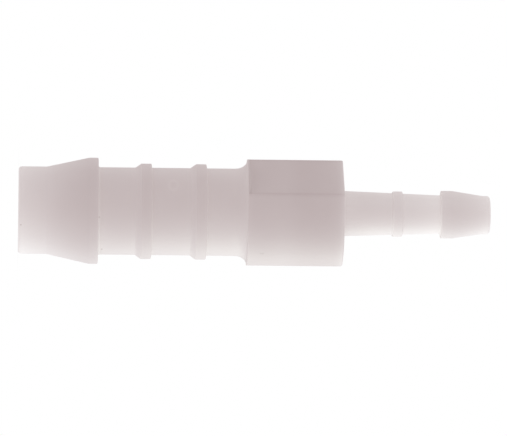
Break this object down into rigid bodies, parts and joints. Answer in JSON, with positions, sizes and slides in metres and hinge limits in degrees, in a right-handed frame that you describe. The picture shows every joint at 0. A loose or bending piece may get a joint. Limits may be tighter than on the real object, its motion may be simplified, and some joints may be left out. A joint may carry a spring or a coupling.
{
  "type": "hose barb reducer",
  "caption": "Straight plastic hose reducer: a large ribbed barb and a small tapered barb on one through passage, with a flatted collar between them.",
  "frame": {"origin": "centre of the large end's annular face, on the axis of the passage", "axes": "+Z along the passage, from the large end to the small end; the collar's spanner flats face +Y and -Y"},
  "size_m": [0.0158, 0.0158, 0.0702],
  "materials": {
    "natural_plastic": "satin, milky and slightly translucent, as moulded"
  },
  "bodies": {
    "root": {"reducer_body": "natural_plastic"}
  },
  "joints": []
}
